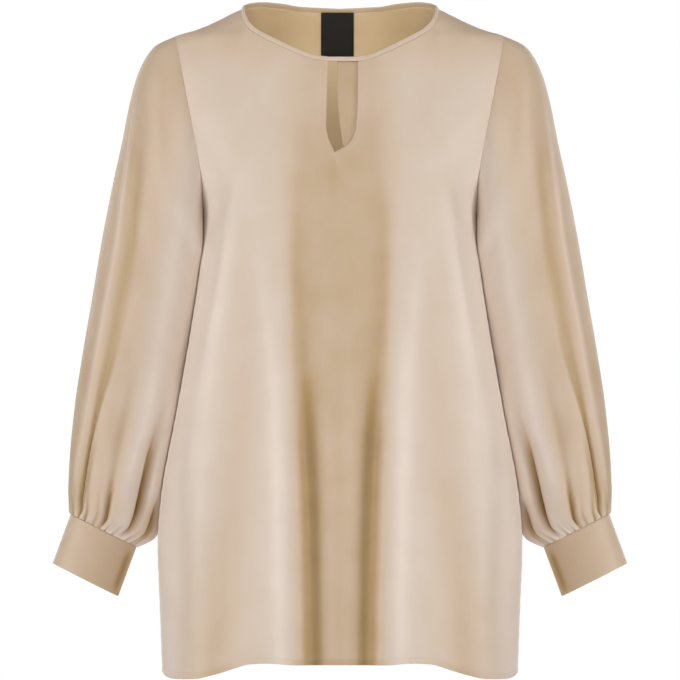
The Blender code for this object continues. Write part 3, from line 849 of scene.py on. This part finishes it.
def make_sleeve(name, side, cloths):
    turn, along = np.meshgrid(turns_of(SLEEVE_COLUMNS), sleeve_alongs())
    points, normals = sleeve_frame(turn, along)
    out, onward, fold = armhole_frame(turn[0])
    normals[0] = out * np.cos(fold) - onward * np.sin(fold)
    from_seam = along * SLEEVE_LENGTH
    gathers = gather_lift(turn, along)
    dip = seam_dip(armhole_height(turn))
    roll = seam_roll(from_seam, turn * ARMHOLE_RADIUS, dip, SLEEVE_ROLL) * ease(1 - from_seam / 40)
    points = points + normals * (gathers + roll)[..., None]
    # Painted shade in the gathers' hollows and painted highlight on their ridges.
    painted_shade = sleeve_painted_shade(turn, along) - gathers * GATHER_PAINTED_SHADE
    points = np.concatenate([turned_in(points[0], turn[0])[None], points])
    painted_shade, turn, along = (np.concatenate([part[:1], part]) for part in (painted_shade, turn, along))
    place = (turn * SLEEVE_RADIUS, (1 - along) * SLEEVE_LENGTH)
    return make_tube(name, side, points, place, painted_shade, SLEEVE_WALL, cloths)


def turned_in(edge, turn):
    """The sleeve's seam allowance: it turns in at the armhole and lies under the panels' edge."""
    out, onward, fold = armhole_frame(turn)
    inwards = onward * np.sin(fold / 2) - out * np.cos(fold / 2)
    under = -onward * np.cos(fold / 2) - out * np.sin(fold / 2)
    return edge + ALLOWANCE * (1.15 * inwards + under)


def sleeve_painted_shade(turn, along):
    """Painted light and shade on a sleeve: paler towards the body, deeper towards its outer edge, in its
    creases and tucks and in the hollow above the cuff.
    """
    turn = uneven(turn, along)
    folded = sleeve_crease_lift(turn, along, SLEEVE_RADIUS) - 0.8 * tuck_depth(turn, along)
    painted_shade = 0.5 + 0.12 * ease(np.cos(turn) * 1.5) - 0.65 * ease(0.3 - np.cos(turn))
    for towards, start, over, place, run, amount in zip(*SLEEVE_PAINTED_SHADES.values()):
        grown = ease((towards * np.cos(turn) - start) / over)
        painted_shade += amount * grown * ease((along - place) / run)
    # Painted shade in the hollow beside the body, just above the cuff.
    hollow = peak(turned_apart(turn, HOLLOW_TURN), 0.2236) * peak(along - HOLLOW_ALONG, 0.035)
    return painted_shade + 0.5 * hollow - folded * CREASE_PAINTED_SHADE


def make_tube(name, side, points, place, painted_shade, wall, cloths):
    """A tube's shell from its rings: `place` is the cloth's own coordinates, round and along."""
    points = points * (side, 1, 1)
    index = np.arange(painted_shade.size).reshape(painted_shade.shape)
    faces = quads(np.pad(index, ((0, 0), (0, 1)), mode="wrap"))
    if side == RIGHT:
        faces = [corners[::-1] for corners in faces]
    weave = np.stack(np.broadcast_arrays(*place), axis=-1)
    tube = make_shell(name, points, faces, weave, np.full_like(weave, FAR), painted_shade, cloths)
    thicken(tube, wall)
    return tube


def make_cuff(name, side, cloths):
    """A doubled band, which leans a little outwards on its way down."""
    downs = np.array((0.1, 0.8, 1.6, 2.6, 4, 6, 9, 13, 18, 24, 30, 36, 42, 47, 51, 54.5, 57, 58.6,
                      59.6, 60.3, CUFF_LENGTH))
    turn, down = np.meshgrid(turns_of(CUFF_COLUMNS), downs)
    top, oval = sleeve_section(turn, np.ones(turn.shape))
    lean = np.array((CUFF_LEAN[0], 0, CUFF_LEAN[1]))
    dent = 1.6 * peak(turn - 3.62, 0.2) * ease(down / 20) * ease((72 - down) / 30)
    dent += 0.7 * peak(turn - 1.9, 0.25) * ease(down / 30)
    roll = 0.2 * np.exp(-down / 1.2) + 0.3 * np.exp((down - CUFF_LENGTH) / 0.8)
    radius = np.linalg.norm(oval, axis=-1)
    points = top + lean * down[..., None] + oval * (1 - (dent + roll) / radius)[..., None]
    # Painted shade: deeper towards the body's side and in the dents.
    painted_shade = 0.62 - 0.08 * np.cos(turn) + 0.32 * dent
    place = (turn * CUFF_RADIUS, down)
    return make_tube(name, side, points, place, painted_shade, CUFF_WALL, cloths)


# Neck binding, the strip in the keyhole and the label


def neckline(face, side):
    """Points and normals along half of a panel's neckline, from the centre to the shoulder seam."""
    points = panel_points(face, side, np.linspace(0, NECK_END, NECK_COLUMNS), np.ones(NECK_COLUMNS))
    return points, panel_normals(face, points)


def over_keyhole():
    """The neckline's missing stretch, straight on from one side of the slit to the other."""
    x = np.linspace(KEYHOLE["left_edge"][0], KEYHOLE["right_edge"][0], 14)[1:-1]
    height = np.full(len(x), FRONT_NECK["height"][0])
    return np.stack([x, -depth(FRONT, x, height), height], axis=-1)


def neck_ring():
    """The whole neckline as a closed ring: its points, outward normals and upward directions."""
    front_left, front_right = neckline(FRONT, LEFT), neckline(FRONT, RIGHT)
    back_left, back_right = neckline(BACK, LEFT), neckline(BACK, RIGHT)
    slit = over_keyhole()
    slit_normals = np.repeat((front_left[1][:1] + front_right[1][:1]) / 2, len(slit), axis=0)
    points, normals = (
        np.concatenate([over, front[:-1], back[::-1], other_back[1:], other_front[-2::-1]])
        for over, front, back, other_back, other_front in zip(
            (slit, slit_normals), front_left, back_left, back_right, front_right
        )
    )
    points[np.abs(points[:, 1]) <= SEAM, 1] = 0
    tangents = unit(np.roll(points, -1, axis=0) - np.roll(points, 1, axis=0))
    upwards = unit(np.cross(normals, tangents))
    towards = np.array((0, 0, 60)) - points
    upwards *= np.sign(np.sum(upwards * towards, axis=1, keepdims=True))
    standing = 0.8 * ease((points[:, 2:] + 45) / 30)
    upwards = unit(upwards + standing * np.array((0, 0, 1)))
    normals = unit(normals - np.sum(normals * upwards, axis=1, keepdims=True) * upwards)
    return points, normals, upwards


def make_binding(cloths):
    points, normals, upwards = neck_ring()
    place = lengths(points[None], 1)[0]
    wave = 0.12 * np.sin(place / 3.1) + 0.08 * np.sin(place / 7.3)
    up, out = (BINDING_PROFILE[name][:, None, None] for name in ("up", "out"))
    rings = points + upwards * up + normals * (out + wave[:, None] * (out > 0))
    index = np.arange(rings[..., 0].size).reshape(rings.shape[:2])
    faces = quads(np.pad(index, ((0, 1), (0, 1)), mode="wrap"))
    round_section = 1.2 * np.arange(len(rings))[:, None]
    weave = np.stack(np.broadcast_arrays(place, round_section), axis=-1)
    edges = np.full_like(weave, FAR)
    # Painted shade on the binding's inner face.
    painted_shade = (0.4 + 0.4 * ease(-out - 0.3))[..., 0] + 0 * place
    return make_shell("neck_binding_cloth", rings, faces, weave, edges, painted_shade, cloths)


def make_patch(name, face, x, height, inward, wall, cloths):
    """A piece that lies inside a panel, made from the panel's own surface, moved inward."""
    points = np.stack([x, face * depth(face, x, height), height], axis=-1)
    points = points - panel_normals(face, points) * inward[..., None]
    weave = np.stack([x, height], axis=-1)
    edges = np.stack([lengths(points, 1), np.full(x.shape, FAR)], axis=-1)
    index = np.arange(x.size).reshape(x.shape)
    # Even painted shade, deeper than the panels', for a piece recessed inside a panel.
    painted_shade = np.full(x.size, 0.75)
    patch = make_shell(name, points, quads(index), weave, edges, painted_shade, cloths)
    thicken(patch, wall)
    return patch


def make_underlap(cloths):
    heights = np.linspace(UNDERLAP["height"][0], UNDERLAP["height"][-1], 60)
    part, height = np.meshgrid(np.linspace(0, 1, 24), heights)
    free, hidden = curves(UNDERLAP, "height", "free_edge hidden_edge", height)
    x = free + (hidden - free) * part
    inward = UNDERLAP_INWARD + 0.5 * np.exp(-(x - free) / 1.5)
    name = "keyhole_underlap_cloth"
    return make_patch(name, FRONT, x, height, inward, UNDERLAP_WALL, cloths)


def make_label(cloths):
    columns = np.linspace(LABEL_LEFT, LABEL_RIGHT, 28)
    x, height = np.meshgrid(columns, np.linspace(LABEL_TOP, LABEL_BOTTOM, 40))
    part = (x - LABEL_LEFT) / (LABEL_RIGHT - LABEL_LEFT)
    inward = LABEL_INWARD + 0.5 * np.sin(part * np.pi) * below(height, LABEL_TOP, 30)
    return make_patch("neck_label_cloth", BACK, x, height, inward, LABEL_WALL, cloths)


# Meshes


def quads(index):
    """The cells of a grid of point numbers."""
    corners = (index[:-1, :-1], index[:-1, 1:], index[1:, 1:], index[1:, :-1])
    return [tuple(int(i) for i in cell) for cell in np.stack(corners, axis=-1).reshape(-1, 4)]


def new_object(name, data):
    made = bpy.data.objects.new(name, data)
    bpy.context.scene.collection.objects.link(made)
    return made


def make_shell(name, points, faces, weave, edges, painted_shade, cloths):
    """A one-sided mesh with the cloth's coordinates on it, its points joined where halves meet."""
    mesh = bpy.data.meshes.new(name)
    mesh.from_pydata((points.reshape(-1, 3) * MM).tolist(), [], faces)
    for layer, places in (("weave", weave.reshape(-1, 2)), ("edges", edges.reshape(-1, 2))):
        corners = mesh.uv_layers.new(name=layer)
        vertices = [corner.vertex_index for corner in mesh.loops]
        corners.data.foreach_set("uv", (places[vertices] / UV_UNIT).reshape(-1).astype(np.float32))
    # Each point's painted light and shade, which the cloth materials turn into colour.
    painted_shades = mesh.attributes.new("painted_shade", "FLOAT", "POINT")
    painted_shades.data.foreach_set("value", painted_shade.reshape(-1).astype(np.float32))
    shape = bmesh.new()
    shape.from_mesh(mesh)
    bmesh.ops.remove_doubles(shape, verts=shape.verts, dist=2e-6)
    bmesh.ops.recalc_face_normals(shape, faces=shape.faces)
    shape.to_mesh(mesh)
    shape.free()
    mesh.shade_smooth()
    for material in cloths:
        mesh.materials.append(material)
    shell = new_object(name, mesh)
    turn_outwards(shell)
    return shell


def turn_outwards(shell):
    """Flips a shell whose faces look towards its middle."""
    mesh = shell.data
    centres = np.array([face.center for face in mesh.polygons])
    normals = np.array([face.normal for face in mesh.polygons])
    middle = (centres.max(axis=0) + centres.min(axis=0)) / 2
    middle[1] = 0 if shell.name.startswith(("front", "back", "neck", "key")) else middle[1]
    flat = (centres - middle) * (1, 1, 0)
    if np.sum(flat * normals) < 0:
        mesh.flip_normals()


def thicken(shell, wall):
    """Gives a shell its wall, on the side away from its outer face."""
    solid = shell.modifiers.new("wall", "SOLIDIFY")
    solid.thickness = wall * MM
    solid.offset = -1
    solid.material_offset = 1
    solid.material_offset_rim = 0


# Materials


def feed(node, inputs):
    """Fills a node's inputs, by name or number: each with a value or another node's output."""
    for name, value in inputs.items():
        if isinstance(value, bpy.types.NodeSocket):
            node.id_data.links.new(value, node.inputs[name])
        elif value is not None:
            node.inputs[name].default_value = value


def add(tree, kind, inputs={}, **settings):
    node = tree.nodes.new(kind)
    for name, value in settings.items():
        setattr(node, name, value)
    feed(node, inputs)
    return node


def calculate(operation, a, b=None, c=None):
    """A Math node in the tree of `a`, another node's output."""
    return add(a.id_data, "ShaderNodeMath", {0: a, 1: b, 2: c}, operation=operation).outputs[0]


def plus(a, b):
    return calculate("ADD", a, b)


def times(a, b):
    return calculate("MULTIPLY", a, b)


def wave(place, period):
    """Swings from -1 to 1 and back in each period, in millimetres."""
    return calculate("SINE", times(place, 2 * np.pi / period))


def mix_colours(factor, a, b):
    inputs = {0: factor, 6: a, 7: b}
    return add(factor.id_data, "ShaderNodeMix", inputs, data_type="RGBA").outputs[2]


def noise(place, scale, detail=2.0, roughness=0.5):
    inputs = {"Vector": place, "Scale": scale, "Detail": detail, "Roughness": roughness}
    return add(place.id_data, "ShaderNodeTexNoise", inputs).outputs["Fac"]


def cloth_place(tree, layer):
    """The cloth's own coordinates, in millimetres: across and along."""
    uv = add(tree, "ShaderNodeUVMap", uv_map=layer)
    inputs = {0: uv.outputs["UV"], "Scale": UV_UNIT}
    scaled = add(tree, "ShaderNodeVectorMath", inputs, operation="SCALE")
    apart = add(tree, "ShaderNodeSeparateXYZ", {0: scaled.outputs[0]})
    return scaled.outputs[0], apart.outputs[0], apart.outputs[1]


def line_at(place, where, width):
    """1 on a line, 0 away from it."""
    off = calculate("ABSOLUTE", calculate("SUBTRACT", place, where))
    away = calculate("SMOOTH_MIN", calculate("DIVIDE", off, width), 1.0, 0.3)
    return calculate("MULTIPLY_ADD", away, -1.0, 1.0)


def stitched(place, along, where):
    """A row of stitches: the line and the threads that lie in it."""
    line = calculate("MAXIMUM", line_at(place, where, 0.7), 0.0)
    thread = times(line, calculate("GREATER_THAN", wave(along, STITCH), -0.35))
    return line, thread


def new_material(name):
    material = bpy.data.materials.new(name)
    material.use_nodes = True
    tree = material.node_tree
    return material, tree, tree.nodes["Principled BSDF"]


def painted_shade_colour(painted_shade, colours):
    """The colour for a value of painted light and shade, between the five of a cloth."""
    first, last = PAINTED_SHADE_STOPS[0], PAINTED_SHADE_STOPS[-1]
    part = calculate("DIVIDE", calculate("SUBTRACT", painted_shade, first), last - first)
    ramp = add(painted_shade.id_data, "ShaderNodeValToRGB", {"Fac": part})
    stops = ramp.color_ramp.elements
    stops[0].color, stops[1].color = colours[0], colours[-1]
    for place, colour in zip(PAINTED_SHADE_STOPS[1:-1], colours[1:-1]):
        stops.new((place - first) / (last - first)).color = colour
    return ramp.outputs["Color"]


def dress(shader, colour, rough, height, strength, distance):
    """Gives a shader its colour, its roughness and the relief of its threads."""
    relief = {"Strength": strength, "Distance": distance, "Height": height}
    normal = add(shader.id_data, "ShaderNodeBump", relief).outputs[0]
    feed(shader, {"Base Color": colour, "Roughness": rough, "Normal": normal})


def cloth_material(name, colours, stitches):
    """Matt satin crepe: fine grain, faint slubs and its stitching, coloured by painted shade that is
    warmer and deeper in its folds.
    """
    material, tree, shader = new_material(name)
    vector, across, along = cloth_place(tree, "weave")
    _, slit, seam = cloth_place(tree, "edges")

    weave = times(wave(across, THREADS), wave(along, PICKS))
    crepe = noise(vector, 1.3, 3.0, 0.6)
    stretched = add(tree, "ShaderNodeMapping", {"Vector": vector, "Scale": (0.9, 0.05, 1)})
    slubs = noise(stretched.outputs[0], 1.0, 3.0, 0.55)
    clouds = noise(vector, 0.022, 2.0, 0.5)

    # Painted light and shade from the mesh, mottled by the cloth's own clouds and slubs.
    painted_shade = add(tree, "ShaderNodeAttribute", attribute_name="painted_shade", attribute_type="GEOMETRY")
    painted_shade_and_mottle = plus(painted_shade.outputs["Fac"], calculate("MULTIPLY_ADD", clouds, 0.3, -0.15))
    painted_shade_and_mottle = plus(painted_shade_and_mottle, calculate("MULTIPLY_ADD", slubs, 0.12, -0.06))
    colour = painted_shade_colour(painted_shade_and_mottle, colours)
    # The deep painted fold shade, also used for painted shade in stitch grooves and seams.
    deep = colours[-2]

    height = calculate("MULTIPLY_ADD", weave, 0.10, times(crepe, 0.8))
    height = plus(height, times(slubs, 0.25))
    places = {
        "hem": (along, across, HEM_DEPTH),
        "slit": (slit, along, EDGE_STITCH),
        "cuff_top": (along, across, CUFF_STITCH),
        "cuff_end": (along, across, CUFF_LENGTH - CUFF_STITCH),
    }
    for stitch in stitches:
        place, runs, where = places[stitch]
        line, thread = stitched(place, runs, where)
        # Painted shade along the stitch groove.
        colour = mix_colours(times(line, 0.15), colour, deep)
        height = plus(height, times(line, -2.0))
        height = plus(height, times(thread, 1.5))
    # Painted shade in the seams' dip.
    painted_seam_shade = times(line_at(seam, 0.0, 1.2), 0.5)
    colour = mix_colours(calculate("MAXIMUM", painted_seam_shade, 0.0), colour, deep)
    rough = calculate("MULTIPLY_ADD", crepe, 0.08, 0.46)
    dress(shader, colour, rough, height, 0.35, 0.06 * MM)
    sheen = {"Sheen Weight": 0.1, "Sheen Roughness": 0.45, "Sheen Tint": (1.0, 0.93, 0.86, 1)}
    feed(shader, {"Specular IOR Level": 0.6, **sheen})
    return material


def label_material():
    """A black woven label: fine ribs across it and a slightly glossy thread."""
    material, tree, shader = new_material("label_black")
    vector, across, along = cloth_place(tree, "weave")
    threads = wave(across, LABEL_THREADS)
    height = plus(wave(along, LABEL_RIBS), times(threads, 0.5))
    worn = noise(vector, 0.3, 3.0)
    colour = mix_colours(times(worn, 0.5), LABEL_COLOUR, LABEL_WORN)
    rough = calculate("MULTIPLY_ADD", worn, 0.2, 0.45)
    dress(shader, colour, rough, height, 0.4, 0.1 * MM)
    return material


# Surroundings


def plain_material(name, colour, glow=0.0):
    """Plain matt paint on a face's front. Its back is clear, and blocks no view from outside."""
    material, tree, shader = new_material(name)
    behind = add(tree, "ShaderNodeNewGeometry").outputs["Backfacing"]
    clear = add(tree, "ShaderNodeBsdfTransparent").outputs[0]
    chosen = add(tree, "ShaderNodeMixShader", {0: behind, 1: shader.outputs[0], 2: clear})
    feed(tree.nodes["Material Output"], {"Surface": chosen.outputs[0]})
    grain = noise(add(tree, "ShaderNodeTexCoord").outputs["Object"], 3.0)
    shade = mix_colours(times(grain, 0.04), colour, FLOOR_DUST)
    feed(shader, {"Base Color": shade, "Roughness": 0.9})
    feed(shader, {"Emission Color": WHITE, "Emission Strength": glow})
    return material


def staged(name, material):
    """Names the shape just made and paints it."""
    shape = bpy.context.object
    shape.name = name
    shape.data.materials.append(material)
    return shape


def make_surroundings():
    """A pale floor and a white wall all round that only the camera sees, over a floor for the light."""
    size = {"vertices": STAGE_CORNERS, "radius": STAGE_RADIUS}
    place = (0, 0, FLOOR_HEIGHT)
    bpy.ops.mesh.primitive_circle_add(fill_type="NGON", location=place, **size)
    floor = staged("floor", plain_material("floor_pale", BLACK, glow=0.93))
    place = (0, 0, FLOOR_HEIGHT - FLOOR_GAP)
    bpy.ops.mesh.primitive_circle_add(fill_type="NGON", location=place, **size)
    lower = staged("floor_below", plain_material("floor_grey", FLOOR_COLOUR))
    bpy.ops.mesh.primitive_cylinder_add(end_fill_type="NOTHING", depth=WALL_HEIGHT, **size)
    wall = staged("backdrop", plain_material("backdrop_white", BLACK, glow=1.0))
    wall.data.flip_normals()
    for shown in (floor, wall):
        shown.visible_diffuse = shown.visible_glossy = shown.visible_shadow = False
    lower.visible_camera = False


def area_light(name, place, aim, size, power, colour=(1, 1, 1), glossy=True):
    light = bpy.data.lights.new(name, "AREA")
    light.shape = "RECTANGLE"
    light.size, light.size_y = size
    light.energy = power
    light.color = colour
    lamp = new_object(name, light)
    lamp.location = place
    lamp.rotation_euler = (Vector(aim) - Vector(place)).to_track_quat("-Z", "Y").to_euler()
    lamp.visible_camera = False
    lamp.visible_glossy = glossy


def make_lights():
    aim = (0, 0, -0.35)
    for name, side in SIDES.items():
        area_light("side_" + name, (side * 2.9, -1.35, 0.3), aim, (1.0, 2.4), 41.5, (1.0, 0.98, 0.97))
        area_light("back_" + name, (side * 2.0, 3.0, 0.5), aim, (1.5, 2.0), 18)
    area_light("front", (0, -3.8, 0.6), aim, (3.0, 2.0), 59.5, glossy=False)
    area_light("rear", (0, 3.8, 0.6), aim, (3.0, 2.0), 72, glossy=False)
    area_light("inside", (0, -0.035, -0.1), (0, 0.1, -0.1), (0.08, 0.16), 0.077, glossy=False)
    area_light("top", (0, -0.5, 2.6), aim, (2.0, 2.0), 14)
    world = bpy.data.worlds.new("soft_light")
    world.use_nodes = True
    sky = world.node_tree.nodes["Background"]
    feed(sky, {"Color": (1.0, 0.98, 0.95, 1), "Strength": 0.17})
    bpy.context.scene.world = world


def make_camera():
    """A camera so far off that it sees the blouse as the photo does, with hardly any perspective."""
    lens = bpy.data.cameras.new("camera")
    lens.lens = CAMERA_LENS
    lens.sensor_width = 36.0
    lens.clip_end = 200
    camera = new_object("camera", lens)
    camera.location = (0, -CAMERA_DISTANCE, CAMERA_HEIGHT)
    camera.rotation_euler = (np.pi / 2, 0, 0)
    bpy.context.scene.camera = camera
    bpy.context.scene.view_settings.view_transform = "Standard"


def declare(piece):
    """Hangs a piece from the root body and hides the plain solid it stands for."""
    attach(piece, "root")
    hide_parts(piece.name.removesuffix("_cloth"))


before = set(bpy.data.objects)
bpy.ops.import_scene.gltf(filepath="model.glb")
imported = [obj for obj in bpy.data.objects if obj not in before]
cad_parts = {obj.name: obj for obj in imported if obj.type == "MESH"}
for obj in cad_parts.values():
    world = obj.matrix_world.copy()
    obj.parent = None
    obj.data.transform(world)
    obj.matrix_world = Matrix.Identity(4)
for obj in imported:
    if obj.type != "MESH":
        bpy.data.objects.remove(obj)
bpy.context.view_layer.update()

body_cloth = cloth_material("crepe_body", CLOTH_LIT_AND_SHADED, ["hem", "slit"])
sleeve_cloth = cloth_material("crepe_sleeve", CLOTH_LIT_AND_SHADED, [])
cuff_cloth = cloth_material("crepe_cuff", CLOTH_LIT_AND_SHADED, ["cuff_top", "cuff_end"])
trim_cloth = cloth_material("crepe_trim", CLOTH_LIT_AND_SHADED, [])
inside_cloth = cloth_material("crepe_inside", INSIDE_LIT_AND_SHADED, [])
label_cloth = label_material()

front = make_panel("front_panel_cloth", FRONT, (body_cloth, inside_cloth))
back = make_panel("back_panel_cloth", BACK, (body_cloth, inside_cloth))
binding = make_binding((trim_cloth, trim_cloth))
underlap = make_underlap((trim_cloth, inside_cloth))
label = make_label((label_cloth, label_cloth))
declare(front)
declare(back)
declare(binding)
declare(underlap)
declare(label)
for name, side in SIDES.items():
    sleeve = make_sleeve("sleeve_" + name + "_cloth", side, (sleeve_cloth, inside_cloth))
    cuff = make_cuff("cuff_" + name + "_cloth", side, (cuff_cloth, inside_cloth))
    declare(sleeve)
    declare(cuff)

make_surroundings()
make_lights()
make_camera()
